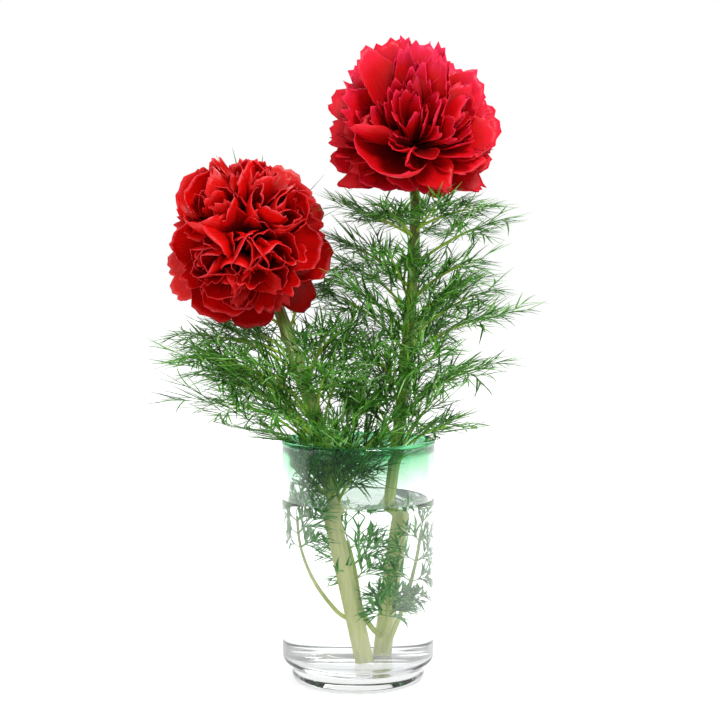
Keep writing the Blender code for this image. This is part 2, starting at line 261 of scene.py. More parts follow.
floor_mesh.materials.append(paper.paint(paper.mix(dark, (0.86,) * 3, (0.2,) * 3)))


# %% [markdown]
# ## Small helpers for shapes
#
# Every piece ends as a plain mesh that sits at the origin, with its place in its points. A helper turns an
# object with live modifiers into such a mesh, and another one hangs it on the frame's body, hides the plain parts it
# stands for and prints them.

# %% Meshes, routes and putting a piece in place of plain parts
def show(name, mesh):
    made = bpy.data.objects.new(name, mesh)
    bpy.context.scene.collection.objects.link(made)
    return made


def baked(obj, name):
    """The object's mesh with its modifiers applied, as a new object. The old object is removed."""
    bpy.context.view_layer.update()
    graph = bpy.context.evaluated_depsgraph_get()
    mesh = bpy.data.meshes.new_from_object(obj.evaluated_get(graph))
    bpy.data.objects.remove(obj)
    mesh.name = name
    return show(name, mesh)


def stand_for(piece, slot, *nodes):
    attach(piece, "root")
    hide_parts(*nodes)
    print(f"{piece.name}: {len(piece.data.polygons)} faces, for {', '.join(nodes)}")


def grown(obj, tree, name, values):
    """What a Geometry Nodes tree makes of an object. Its inputs are set by their identifiers."""
    modifier = obj.modifiers.new(tree.name, "NODES")
    modifier.node_group = tree
    names = {i.name: i.identifier for i in tree.interface.items_tree if i.in_out == "INPUT"}
    for label, value in values.items():
        modifier[names[label]] = value
    return baked(obj, name)


def smooth_route(points, steps):
    """Points on a Catmull-Rom curve through the given ones, in metres."""
    guide = [Vector(p) * MM for p in points]
    padded = [2 * guide[0] - guide[1], *guide, 2 * guide[-1] - guide[-2]]
    route = []
    for a, b, c, d in zip(padded, padded[1:], padded[2:], padded[3:]):
        for i in range(steps):
            t = i / steps
            bow = (2 * a - 5 * b + 4 * c - d) * t**2 + (3 * b - a - 3 * c + d) * t**3
            route.append(0.5 * (2 * b + (c - a) * t + bow))
    route.append(guide[-1])
    return route


# %% [markdown]
# ## The vase
#
# The vase is a straight tumbler of hand-blown glass. Its base is a thick disc with a step round it, its lip is
# fire-polished and rounder than the wall, and a band of green glass at the rim fades into the clear wall. A
# turned profile gives the form. Then the points are pushed about by a fraction of a millimetre, because blown
# glass is never quite round, and those small waves are what makes its reflections wander.

# %% Turn the glass
vase_low, vase_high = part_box("vase")
VASE_HEIGHT = vase_high.z
VASE_RADIUS = (vase_high.x - vase_low.x) / 2
WALL = 2.9 * MM
FLOOR_HEIGHT = 10.0 * MM
TURN_STEPS = 144


def arc(middle, radius, first, last, steps):
    """Points of an arc in the profile's plane. Angles are in degrees, from the outward direction."""
    angles = [math.radians(first + (last - first) * i / steps) for i in range(steps + 1)]
    return [(middle[0] + radius * math.cos(a), middle[1] + radius * math.sin(a)) for a in angles]


def straight(start, end, steps):
    return [tuple(s + (e - s) * i / steps for s, e in zip(start, end)) for i in range(1, steps)]


def vase_profile():
    """From the top of the lip down the outer side, under the foot, and up the inner wall."""
    lip = 1.62 * MM
    lip_middle = (VASE_RADIUS - 1.50 * MM, VASE_HEIGHT - lip)
    shoulder = (VASE_RADIUS - 3.6 * MM, 11.6 * MM)
    foot = 32.8 * MM
    outer = arc(lip_middle, lip, 90, -28, 8)
    outer += straight(outer[-1], (VASE_RADIUS, 12.0 * MM), 26)
    outer += arc(shoulder, 3.6 * MM, 0, -80, 7)
    outer += arc((foot + 1.0 * MM, 6.9 * MM), 1.1 * MM, 100, 175, 4)
    outer += [(foot - 0.1 * MM, 4.0 * MM)]
    outer += arc((foot - 2.0 * MM, 2.0 * MM), 2.0 * MM, 0, -90, 5)
    outer += [(foot * 0.66, 0.0), (foot * 0.33, 0.0), (0.0, 0.0)]
    reach = VASE_RADIUS - WALL
    inner = [(0.0, FLOOR_HEIGHT + 0.5 * MM), (reach * 0.4, FLOOR_HEIGHT + 0.35 * MM)]
    inner += [(reach * 0.7, FLOOR_HEIGHT)]
    inner += arc((reach - 3.6 * MM, FLOOR_HEIGHT + 3.6 * MM), 3.6 * MM, -90, 0, 7)
    inner += straight(inner[-1], (reach, VASE_HEIGHT - 2.9 * MM), 26)
    inner += arc(lip_middle, lip, 216, 100, 7)
    return outer, inner


def turned(name, outline, closed, steps=TURN_STEPS):
    """A closed body turned about Z. The outline runs down the outer side."""
    mesh = bpy.data.meshes.new(name)
    edges = [(i, i + 1) for i in range(len(outline) - 1)]
    if closed:
        edges.append((len(outline) - 1, 0))
    mesh.from_pydata([(r, 0, z) for r, z in outline], edges, [])
    obj = show(name, mesh)
    screw = obj.modifiers.new("turn", "SCREW")
    screw.steps = screw.render_steps = steps
    screw.use_merge_vertices = True
    screw.merge_threshold = 1e-6
    return baked(obj, name)


outer, inner = vase_profile()
vase = turned("glass_vase", outer + inner, True)

# %% Make it a little uneven
TRUE_BELOW = 12 * MM
OVAL, LOBES, RIPPLE = 0.22 * MM, 0.10 * MM, 0.06 * MM
UNEVENNESS = 1.6
RIM_DIP = 0.35 * MM
RIM_SHARE = 0.1
for vertex in vase.data.vertices:
    x, y, z = vertex.co
    angle = math.atan2(y, x)
    up = max(0.0, z - TRUE_BELOW) / VASE_HEIGHT
    lean = OVAL * math.sin(2 * angle + 0.7) + LOBES * math.sin(5 * angle + 60 * z)
    wave = RIPPLE * math.sin(3 * angle - 150 * z) * math.sin(210 * z + 2)
    grow = 1 + (lean + wave) * up / VASE_RADIUS * UNEVENNESS
    near_rim = max(0.0, (z / VASE_HEIGHT - 1 + RIM_SHARE) / RIM_SHARE)
    drop = RIM_DIP * (1 - math.sin(2 * angle + 2.1) * near_rim) if near_rim else 0.0
    vertex.co = (x * grow, y * grow, z - drop)
vase.data.shade_smooth()

# %% Clear glass with a green rim
TINT_FOOT = 0.084
TINT_WANDER = 0.012
CLEAR_GLASS = (0.988, 0.996, 0.996)
RIM_GREEN = (0.11, 0.58, 0.25)
glass = Finish("clear glass, green at the rim", Roughness=0.0, IOR=1.5, Transmission_Weight=1.0)
place = glass.place()
height = place.part("Z") + (glass.noise(place, 38.0) - 0.5) * TINT_WANDER
tint = height.stretch(TINT_FOOT, VASE_HEIGHT) ** 1.5
vase.data.materials.append(glass.paint(glass.mix(tint, CLEAR_GLASS, RIM_GREEN)))
stand_for(vase, "clear_glass", "vase")


# %% [markdown]
# ## The water
#
# Still water wets the glass and the stems; here its surface turns up in a fine curved line only where it meets the
# glass.
# The body of water reaches a fraction of a millimetre into the glass. Light then never finds a film of air
# between the two, and what stands in the water looks wider, as it does in a real vase.

# %% Fill the vase
WATER_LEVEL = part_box("water")[1].z
water_reach = VASE_RADIUS - WALL + 0.25 * MM
meniscus = [
    (water_reach * 0.5, WATER_LEVEL),
    (water_reach - 2.0 * MM, WATER_LEVEL),
    (water_reach - 0.8 * MM, WATER_LEVEL + 0.04 * MM),
    (water_reach - 0.4 * MM, WATER_LEVEL + 0.12 * MM),
    (water_reach, WATER_LEVEL + 0.28 * MM),
]
water_profile = [(0.0, WATER_LEVEL), *meniscus]
water_profile += straight(meniscus[-1], (water_reach, FLOOR_HEIGHT + 3.4 * MM), 20)
water_profile += arc((water_reach - 3.7 * MM, FLOOR_HEIGHT + 3.5 * MM), 3.7 * MM, 0, -90, 7)
water_profile += [(water_reach * 0.7, FLOOR_HEIGHT - 0.25 * MM), (0.0, FLOOR_HEIGHT + 0.2 * MM)]
water = turned("still_water", water_profile, False)
water.data.shade_smooth()
clear_water = Finish(
    "still water", Roughness=0.0, IOR=1.333, Transmission_Weight=1.0, Base_Color=(0.990, 0.994, 0.998, 1)
)
water.data.materials.append(clear_water.material)
stand_for(water, "water", "water")


# %% [markdown]
# ## The stems
#
# A peony stem is not a plain tube. It is ribbed along its length, swells where a leaf comes off, thins towards
# the flower, and turns from pale yellow-green at the cut end to olive under the bloom. In the water the pale green
# is partly the stem's own and partly painted light, made brighter for the light that the glass holds back. A
# Geometry
# Nodes tree sweeps a fluted ring along the stem's route. The thickness at each point is worked out beforehand and
# travels with the route as an attribute.

# %% The routes of the two stems, and how thick they start
# Points in millimetres, from the cut end to the flower.
TALL_ROUTE = (
    (8.0, 9.0, 11.0), (11.5, 8.5, 50.0), (16.0, 6.5, 90.0), (19.5, 5.0, 118.0), (24.0, 3.0, 160.0),
    (27.0, 1.5, 205.0), (27.8, 3.0, 233.0), (26.6, 6.6, 247.0), (25.4, 7.4, 253.0),
)
SHORT_ROUTE = (
    (2.5, -9.5, 11.2), (-4.5, -10.0, 50.0), (-11.5, -9.5, 88.0), (-17.5, -7.0, 118.0), (-29.0, 1.5, 152.0),
    (-40.0, 13.0, 182.0), (-47.8, 16.5, 197.0), (-51.0, 15.6, 204.0), (-51.7, 13.0, 208.0),
)
STEM_THICK = {"tall": 3.1 * MM, "short": 3.6 * MM}
STEM_TAPER = 0.68
routes = {"tall": smooth_route(TALL_ROUTE, 14), "short": smooth_route(SHORT_ROUTE, 14)}


# %% [markdown]
# The leaves come first in a list, because the stems swell where they leave. Each leaf has the height where it
# leaves the stem, the way it heads, how steeply it rises and how much it droops, its length, and its roll.

# %% The leaves' places
TALL_LEAVES = {
    "rim_right": ((107, -4, 64, 60, 42, 10), (112, 262, 76, 24, 46, 15), (104, 320, 74, 30, 46, 0, 0.3)),
    "low_right": ((128, 12, 50, 32, 55, -20), (124, 330, 66, 34, 44, 0), (116, 200, 62, 30, 50, -10),
                  (110, 240, 70, 30, 48, 0, 0.3)),
    "low_front": ((137, 285, 52, 30, 50, 15), (133, 235, 62, 34, 48, 20), (130, 262, 74, 20, 46, 0)),
    "low_back": ((146, 78, 52, 36, 56, -10), (141, 150, 58, 34, 56, -15)),
    "mid_right": ((158, -12, 44, 28, 57, 25), (155, 60, 54, 34, 48, 10), (150, 275, 70, 26, 44, 0),
                  (166, 340, 50, 26, 48, 0)),
    "mid_left": ((168, 215, 54, 28, 46, -25), (163, 310, 62, 32, 46, 20), (160, 170, 58, 30, 50, 0)),
    "mid_back": ((178, 128, 50, 32, 52, 20), (172, 30, 52, 30, 50, -10)),
    "high_front": ((186, 325, 46, 28, 44, 10), (183, 245, 58, 30, 42, 10), (176, 275, 72, 24, 40, 0)),
    "high_right": ((203, 20, 40, 20, 50, -15), (192, 170, 48, 26, 46, -20)),
    "top_back": ((209, 92, 38, 22, 42, 0), (216, 240, 32, 10, 34, 0), (219, 300, 34, 10, 30, 0),
                 (217, 170, 34, 16, 38, 0), (221, 10, 30, 14, 36, 20)),
}
SHORT_LEAVES = {
    "rim_left": ((104, 184, 66, 56, 80, 20), (93, 215, 72, 16, 48, 0, 0.1), (91, 170, 60, 20, 44, 30, 0.1),
                 (89, 200, 52, 10, 42, 0, 0.1)),
    "rim_front": ((106, 238, 66, 50, 60, -10), (93, 275, 74, 16, 44, 0, 0.1), (90, 262, 62, 14, 44, 20, 0.1),
                  (88, 320, 58, 10, 46, 0, 0.1)),
    "rim_back": ((110, 128, 62, 50, 70, -20), (92, 20, 60, 10, 48, 0, 0.1), (90, 85, 58, 10, 48, 0, 0.1),
                 (94, 350, 60, 14, 46, 0, 0.1)),
    "low_left": ((117, 167, 56, 28, 77, 12), (112, 210, 62, 38, 70, -15), (114, 190, 54, 30, 77, 0)),
    "low_front": ((122, 262, 64, 40, 52, 20), (108, 330, 70, 30, 50, 10), (96, 315, 72, 14, 46, 10, 0.15)),
    "mid_left": ((131, 204, 49, 36, 72, 10), (127, 190, 50, 32, 74, 0), (124, 225, 58, 36, 66, 10)),
    "mid_back": ((140, 112, 57, 36, 60, 10), (116, 20, 66, 30, 54, 0), (134, 60, 60, 30, 54, 0)),
    "mid_right": ((147, 335, 68, 36, 46, -20), (143, 300, 62, 32, 48, 10), (120, 290, 72, 30, 50, 10)),
    "high_left": ((156, 172, 34, 34, 52, -12), (150, 165, 42, 32, 62, -10), (158, 150, 40, 34, 46, 0)),
    "high_back": ((168, 80, 50, 30, 52, 12), (172, 140, 34, 26, 46, 0), (182, 40, 48, 26, 42, 0)),
}


# %% A Geometry Nodes tree, and one that sweeps a fluted ring along a route
class Growth(Tree):
    """A Geometry Nodes tree with named inputs. Each is a number, or the kind of thing that goes in."""

    def __init__(self, name, sockets):
        super().__init__(bpy.data.node_groups.new(name, "GeometryNodeTree"))
        for way in ("OUTPUT", "INPUT"):
            self.tree.interface.new_socket("Geometry", in_out=way, socket_type="NodeSocketGeometry")
        for label, value in {**sockets, "Finish": "Material"}.items():
            kind = value if isinstance(value, str) else type(value).__name__.title()
            socket = self.tree.interface.new_socket(label, in_out="INPUT", socket_type="NodeSocket" + kind)
            if kind != value:
                socket.default_value = value
        entry = self.tree.nodes.new("NodeGroupInput")
        self.given = {s.name: Wire(self, s) for s in entry.outputs if s.name}

    def named(self, name):
        """A number that the points carry."""
        return self.node("GeometryNodeInputNamedAttribute", {"Name": name}, "Attribute", data_type="FLOAT")

    def ring(self, sides):
        return self.node("GeometryNodeCurvePrimitiveCircle", {"Resolution": sides, "Radius": 1.0}, "Curve")

    def moved(self, geometry, position):
        return self.node("GeometryNodeSetPosition", {"Geometry": geometry, "Position": position})

    def sweep(self, lines, profile):
        """Lines of edges become curves as thick as their thick attribute says, clothed with the profile."""
        curves = self.node("GeometryNodeMeshToCurve", {"Mesh": lines})
        curves = self.node("GeometryNodeSetCurveNormal", {"Curve": curves}, mode="Z_UP")
        ends = {"Curve": curves, "Profile Curve": profile, "Scale": self.named("thick"), "Fill Caps": True}
        return self.node("GeometryNodeCurveToMesh", ends)

    def smooth(self, geometry):
        return self.node("GeometryNodeSetShadeSmooth", {"Geometry": geometry})

    def close(self, geometry):
        """Ends the tree: instances become real mesh, and the finish goes on."""
        whole = self.node("GeometryNodeRealizeInstances", {"Geometry": geometry})
        dressed = self.node("GeometryNodeSetMaterial", {"Geometry": whole, "Material": self.given["Finish"]})
        self.feed(self.tree.nodes.new("NodeGroupOutput").inputs["Geometry"], dressed)
        return self.tree


def make_stem_tree():
    tree = Growth("fluted stem", {"Ribs": 7.0, "Rib depth": 0.07})
    place = tree.node("GeometryNodeInputPosition")
    angle = place.part("Y").math("ARCTAN2", place.part("X"))
    flute = (angle * tree.given["Ribs"]).math("COSINE") * tree.given["Rib depth"] + 1.0
    scaled = tree.node("ShaderNodeVectorMath", {"Vector": place, "Scale": flute}, operation="SCALE")
    body = tree.sweep(tree.given["Geometry"], tree.moved(tree.ring(42), scaled))
    return tree.close(tree.smooth(body))


stem_tree = make_stem_tree()


def lines_object(name, lines):
    """An object of loose lines. Each point carries its thickness, age, tone and whether it is a stalk."""
    keys = ("thick", "age", "tone", "stalk")
    points, edges, values = [], [], {key: [] for key in keys}
    for line in lines:
        start = len(points)
        for point, *numbers in line:
            points.append(tuple(point))
            for key, number in zip(keys, numbers):
                values[key].append(number)
        edges += [(i, i + 1) for i in range(start, len(points) - 1)]
    mesh = bpy.data.meshes.new(name)
    mesh.from_pydata(points, edges, [])
    for key, numbers in values.items():
        mesh.attributes.new(key, "FLOAT", "POINT").data.foreach_set("value", numbers)
    return show(name, mesh)


# %% Green that pales towards the cut end, with painted light on the part in the water
def make_stem_finish():
    finish = Finish("stem green", Roughness=0.42, Coat_Weight=0.12, Coat_Roughness=0.3, Subsurface_Weight=0.12,
                    Subsurface_Radius=(0.8, 1.0, 0.3), Subsurface_Scale=0.002)
    place = finish.place()
    height = place.part("Z")
    along_stem = finish.node("ShaderNodeMapping", {"Vector": place, "Scale": (900.0, 900.0, 34.0)})
    fibre = finish.noise(along_stem, 1.0, 3.0)
    blotch = finish.noise(place, 60.0)
    # Pale low on the stem, in the water and the glass: partly the stem's own colour and partly painted light,
    # brighter for the light that the glass holds back.
    pale = finish.mix(fibre.stretch(0.3, 0.75), (0.97, 0.98, 0.52), (0.82, 0.90, 0.34))
    olive = finish.mix((blotch * 1.6 - 0.4).clamped(), (0.085, 0.13, 0.012), (0.17, 0.21, 0.03))
    green = finish.mix(fibre, (0.23, 0.36, 0.07), (0.34, 0.46, 0.10))
    lower = finish.mix((height + (blotch - 0.5) * 0.02).stretch(0.080, 0.125), pale, green)
    return finish.paint(finish.mix(height.stretch(0.125, 0.215), lower, olive), fibre, 0.25, 0.0004)


stem_finish = make_stem_finish()


# %% Grow the stems
SWELL_REACH = 2.6 * MM
SWELL = 0.20


def thickness(label, share):
    """How thick a stem is part of the way along: it tapers towards the flower."""
    return STEM_THICK[label] * (1 - (1 - STEM_TAPER) * share)


def stem_line(label, joints):
    """The route with its thickness, which swells at each leaf joint."""
    route = routes[label]
    line = []
    for i, point in enumerate(route):
        share = i / (len(route) - 1)
        swell = sum(math.exp(-(((point.z - height * MM) / SWELL_REACH) ** 2)) for height in joints)
        line.append((point, thickness(label, share) * (1 + SWELL * min(1.0, swell)), share, 0.5, 1.0))
    return line


for label, table in (("tall", TALL_LEAVES), ("short", SHORT_LEAVES)):
    raw = lines_object(f"route_{label}", [stem_line(label, [rows[0][0] for rows in table.values()])])
    stem = grown(raw, stem_tree, f"ribbed_stem_{label}", {"Finish": stem_finish})
    stand_for(stem, "stem_green", f"stem_{label}")


# %% [markdown]
# ## The leaves
#
# A fern-leaf peony's leaf is cut again and again until only threads are left. The stalk carries leaflets in
# pairs, each leaflet carries forks in pairs, and each fork ends in a few long narrow segments. Each order is the
# order before it at a smaller size, so a function that calls itself draws them all as lines. The lines bend
# forward as they grow, and each leaves the leaf's plane a little, which gives the leaf its depth. A Geometry
# Nodes tree then clothes them: stalks with a round section, and segments with a flat one that has a groove
# along the top.

# %% A tree that clothes stalks and segments
def make_leaf_tree():
    tree = Growth("leaf threads", {"Flatness": 0.36, "Groove": 0.30})
    place = tree.node("GeometryNodeInputPosition")
    x, y = place.part("X"), place.part("Y")
    sunk = y * tree.given["Flatness"] + (x * x - 0.5) * tree.given["Groove"]
    gutter = tree.moved(tree.ring(6), tree.vector(x, sunk, 0.0))
    is_stalk = tree.named("stalk").math("GREATER_THAN", 0.5)
    sort = {"Geometry": tree.given["Geometry"], "Selection": is_stalk}
    stalks = tree.node("GeometryNodeSeparateGeometry", sort, "Selection", domain="EDGE")
    blades = Wire(tree, tree.socket_of(stalks.socket.node.outputs, "Inverted"))
    join = tree.tree.nodes.new("GeometryNodeJoinGeometry")
    for body in (tree.sweep(stalks, tree.ring(6)), tree.sweep(blades, gutter)):
        tree.feed(join.inputs["Geometry"], body)
    return tree.close(tree.smooth(Wire(tree, join.outputs["Geometry"])))


leaf_tree = make_leaf_tree()


# %% One curved thread, and the leaf that branches from it
def turned_about(vector, axis, degrees):
    return Matrix.Rotation(math.radians(degrees), 3, axis) @ vector


def thread(start, way, face, length, thick, bend, droop, steps):
    """Points of a line that starts along way, turns about face by bend and sinks by droop, in degrees."""
    points = []
    point, way, face = start.copy(), way.normalized(), face.normalized()
    for i in range(steps + 1):
        share = i / steps
        points.append((point.copy(), way.copy(), face.copy(), thick[0] + (thick[1] - thick[0]) * share))
        way = turned_about(way, face, bend / steps)
        side = way.cross(Vector((0, 0, 1)))
        if side.length > 0.05:
            way = turned_about(way, side.normalized(), -droop / steps)
        face = (face - way * face.dot(way)).normalized()
        point = point + way * (length / steps)
    return points


def along(points, share):
    """The place, way and face part of the way along a thread."""
    spot = share * (len(points) - 1)
    i = min(int(spot), len(points) - 2)
    mix = spot - i
    first, second = points[i], points[i + 1]
    return first[0].lerp(second[0], mix), first[1].lerp(second[1], mix).normalized(), first[2]


# One row for each order of branching: where along its parent each pair sits and how long it is for it, the
# angle it leaves at, and how far it strays from the leaf's plane. The four lists start with the main stalk.
LEAFLETS = (
    (((0.00, 0.60), (0.37, 0.52), (0.74, 0.42)), 44, 14),
    (((0.30, 0.70), (0.64, 0.58)), 34, 20),
    (((0.26, 1.00), (0.62, 0.86)), 24, 18),
)
RACHIS_PART = 0.74
BARE_PART = 0.44
TERMINAL_PART = 0.36
THREAD_THICK = ((0.85, 0.50), (0.52, 0.40), (0.46, 0.38), (0.48, 0.36))
THREAD_STEPS = (12, 7, 5, 5)
THREAD_DROOP = (0, 5, 4, 5)
THREAD_BEND = (14, 24, 30, 40)
LONGEST_THREAD = 28.0 * MM
GLASS_CLEAR = 1.0 * MM
RIM_SPILL = 7.0
LEAF_SEAT = 0.55


def branch(lines, start, way, face, length, order, rng, droop=None, bare=0.0, shortest=12 * MM):
    """Draws one branch, and everything that branches from it, into the list of lines."""
    last = order == len(LEAFLETS)
    thick = [t * MM for t in THREAD_THICK[order]]
    if last:
        length = min(max(length, shortest), LONGEST_THREAD) * rng.uniform(0.7, 1.25)
    if droop is None:
        droop = THREAD_DROOP[order] * rng.uniform(0.2, 2.0)
    bend = rng.uniform(-THREAD_BEND[order], THREAD_BEND[order])
    points = thread(start, way, face, length, thick, bend, droop, THREAD_STEPS[order])
    tone = rng.random()
    count = len(points) - 1
    line = []
    for i, (point, _, _, width) in enumerate(points):
        taper = 1.0 if order == 0 else min(1.0, 1.3 * (1 - i / count) ** 0.7 + 0.12)
        age = (order + i / count) / (len(LEAFLETS) + 1)
        line.append((point, width * taper, age, tone, float(order == 0)))
    lines.append(line)
    if last:
        return
    places, angle, stray = LEAFLETS[order]
    for share, part in places:
        for side in (-1, 1):
            spot = bare + (1 - bare) * share + rng.uniform(-0.05, 0.05)
            place, forward, up = along(points, min(0.97, max(0.04, spot)))
            out = turned_about(forward, up, side * angle * rng.uniform(0.75, 1.2))
            out = turned_about(out, forward, rng.uniform(-2, 2) * stray)
            part_length = length * part * rng.uniform(0.8, 1.12)
            branch(lines, place, out, up, part_length, order + 1, rng, shortest=shortest)
    if order == 0:
        place, forward, up = along(points, 1.0)
        branch(lines, place, forward, up, length * TERMINAL_PART / RACHIS_PART, 1, rng)


def inside_the_glass(point):
    """A thread that would pass through the glass lies along its inner wall or over its rim instead."""
    room = VASE_RADIUS - WALL - GLASS_CLEAR + RIM_SPILL * max(0.0, point.z - VASE_HEIGHT)
    reach = math.hypot(point.x, point.y)
    if reach <= room:
        return point
    return Vector((point.x * room / reach, point.y * room / reach, point.z))


def stem_spot(label, height):
    """The middle of a stem at a height, and its thickness there."""
    route = routes[label]
    for i, (low, high) in enumerate(zip(route, route[1:])):
        if low.z <= height <= high.z:
            mix = (height - low.z) / (high.z - low.z)
            return low.lerp(high, mix), thickness(label, (i + mix) / (len(route) - 1))
    raise ValueError(f"the {label} stem has no point at {height}")


def leaf_lines(seed, label, height, heading, rise, droop, length, roll, bare=BARE_PART):
    """One whole leaf, from just inside its stem to the last thread."""
    rng = random.Random(seed)
    middle, thick = stem_spot(label, height * MM)
    level = Vector((math.cos(math.radians(heading)), math.sin(math.radians(heading)), 0))
    way = level * math.cos(math.radians(rise)) + Vector((0, 0, math.sin(math.radians(rise))))
    side = Vector((-level.y, level.x, 0))
    face = turned_about(way.cross(side), way, roll)
    start = middle + level * thick * LEAF_SEAT
    lines = []
    branch(lines, start, way, face, length * RACHIS_PART * MM, 0, rng, droop, bare)
    return lines


# %% Greens of the foliage
def make_leaf_finish(name, dark, mid, pale, stalk_green):
    finish = Finish(name, Roughness=0.5, Specular_IOR_Level=0.22)
    place = finish.place()
    grain = finish.noise(place, 1400.0)
    lot = (finish.carried("tone") * 0.7 + finish.noise(place, 45.0) * 0.6 - 0.15).clamped()
    blade = finish.mix(lot.stretch(0.25, 0.60), dark, mid)
    blade = finish.mix(lot.stretch(0.62, 0.95), blade, pale)
    green = finish.mix(finish.carried("age").stretch(0.10, 0.42), stalk_green, blade)
    return finish.paint(finish.mix(grain * 0.3, green, dark), grain, 0.2, 0.0002)


leaf_finish = make_leaf_finish(
    "fern leaf green", (0.022, 0.105, 0.008), (0.125, 0.400, 0.030), (0.360, 0.640, 0.250), (0.52, 0.74, 0.08)
)


# %% Grow every leaf
def clothe(name, node, lines, finish):
    """The lines become a leaf, kept clear of the glass, that stands for a plain one."""
    raw = lines_object("threads", [[(inside_the_glass(point), *rest) for point, *rest in line] for line in lines])
    stand_for(grown(raw, leaf_tree, name, {"Finish": finish}), "leaf_green", node)


for family, table, first_seed in (("tall", TALL_LEAVES, 0), ("short", SHORT_LEAVES, 100)):
    for number, (node, rows) in enumerate(table.items()):
        lines = []
        for extra, row in enumerate(rows):
            lines += leaf_lines(first_seed + number + 20 * extra, family, *row)
        clothe(f"fern_leaf_{family}_{node}", f"leaf_{family}_{node}", lines, leaf_finish)


# %% [markdown]
# Four young shoots stand in the water. Each has a thin pale stalk that curves up from a stem, and a soft tuft at
# its end. Their stalks follow routes of their own, and the same branching draws their threads, closer and shorter.
# Their greens are partly the young shoots' own and partly painted light, made brighter for the light that the glass
# holds back.

# %% Shoots in the water: the route of each stalk in millimetres, and where its tufts are and how long
WATER_SHOOTS = {
    "left": (
        ((-3.5, -10, 32), (-9, -12, 37), (-17, -13, 49), (-22, -13, 60), (-24.8, -12.5, 70), (-26.0, -12, 82)),
        ((0.74, 15), (0.86, 16), (0.96, 13)),
    ),
    "right": (
        ((8.5, 7, 12.5), (11.5, 3, 20), (15.5, -1, 32), (19.5, -3, 46), (22.5, -3, 60), (24.5, -2, 74)),
        ((0.50, 13), (0.64, 15), (0.78, 14), (0.92, 12)),
    ),
    "middle": (
        ((8.2, 7, 20), (4.5, 0, 27), (1.2, -3, 36), (-0.2, -5, 46), (-1.5, -6, 57), (-4.0, -6, 70)),
        ((0.70, 15), (0.82, 17), (0.94, 14)),
    ),
    "front": (
        ((9.2, 5, 22), (10.5, -1, 26), (11.5, -6, 31), (11.8, -9, 36), (12.0, -11, 41)),
        ((0.60, 10), (0.74, 12), (0.88, 12), (0.97, 11)),
    ),
}
SHOOT_STALK = (1.15 * MM, 0.70 * MM)
TUFT_THREADS = 3
TUFT_THICK = 1.35
YOUNG_THREAD = 5.0 * MM
# Paler than the leaves above: partly the shoots' own young green and partly painted light, brighter for the light
# that the glass holds back.
young_and_lit_leaf_finish = make_leaf_finish(
    "young leaf green", (0.060, 0.340, 0.040), (0.200, 0.640, 0.140), (0.520, 0.900, 0.360), (0.86, 0.94, 0.34)
)


def shoot_lines(stalk_route, tufts, seed):
    """A stalk along its route, with small leaflets near its end."""
    rng = random.Random(seed)
    route = smooth_route(stalk_route, 5)
    count = len(route) - 1
    points, line, tone = [], [], rng.random()
    for i, place in enumerate(route):
        way = (route[min(i + 1, count)] - route[max(i - 1, 0)]).normalized()
        face = way.cross(Vector((0, 1, 0))).cross(way).normalized()
        thick = SHOOT_STALK[0] + (SHOOT_STALK[1] - SHOOT_STALK[0]) * i / count
        points.append((place, way, face, thick))
        line.append((place, thick, 0.22 * i / count, tone, 1.0))
    threads = []
    for share, length in tufts:
        for side in range(TUFT_THREADS):
            place, forward, face = along(points, share)
            out = turned_about(forward, face, rng.uniform(40, 68) * (-1 if side % 2 else 1))
            out = turned_about(out, forward, rng.uniform(-50, 50))
            leaflet = length * rng.uniform(0.8, 1.15) * MM
            branch(threads, place, out, face, leaflet, 1, rng, shortest=YOUNG_THREAD)
    place, forward, face = along(points, 1.0)
    branch(threads, place, forward, face, tufts[-1][1] * MM, 1, rng, shortest=YOUNG_THREAD)
    return [line, *([(point, thick * TUFT_THICK, *rest) for point, thick, *rest in way] for way in threads)]


for number, (node, (stalk_route, tufts)) in enumerate(WATER_SHOOTS.items()):
    lines = shoot_lines(stalk_route, tufts, 40 + number)
    clothe(f"water_shoot_{node}", f"leaf_water_{node}", lines, young_and_lit_leaf_finish)


# %% [markdown]
# ## The petals
#
# A petal is a thin dished sheet: narrow where it is held, broad near the end, with a torn or toothed edge and a
# wave along it. One function makes such a sheet from a few numbers. A double peony has more than a hundred of
# them, no two alike, so a handful of different petals is made first. They are thrown away when the flowers are
# done.
#
# Each petal grows along +Z from the origin with its inner face towards -X, so that leaning it about Y opens the
# flower.

# %% One petal
PETAL_THICK = 0.28 * MM
PETAL_ROWS = 11


def smooth_step(low, high, value):
    share = min(1.0, max(0.0, (value - low) / (high - low)))
    return share * share * (3 - 2 * share)


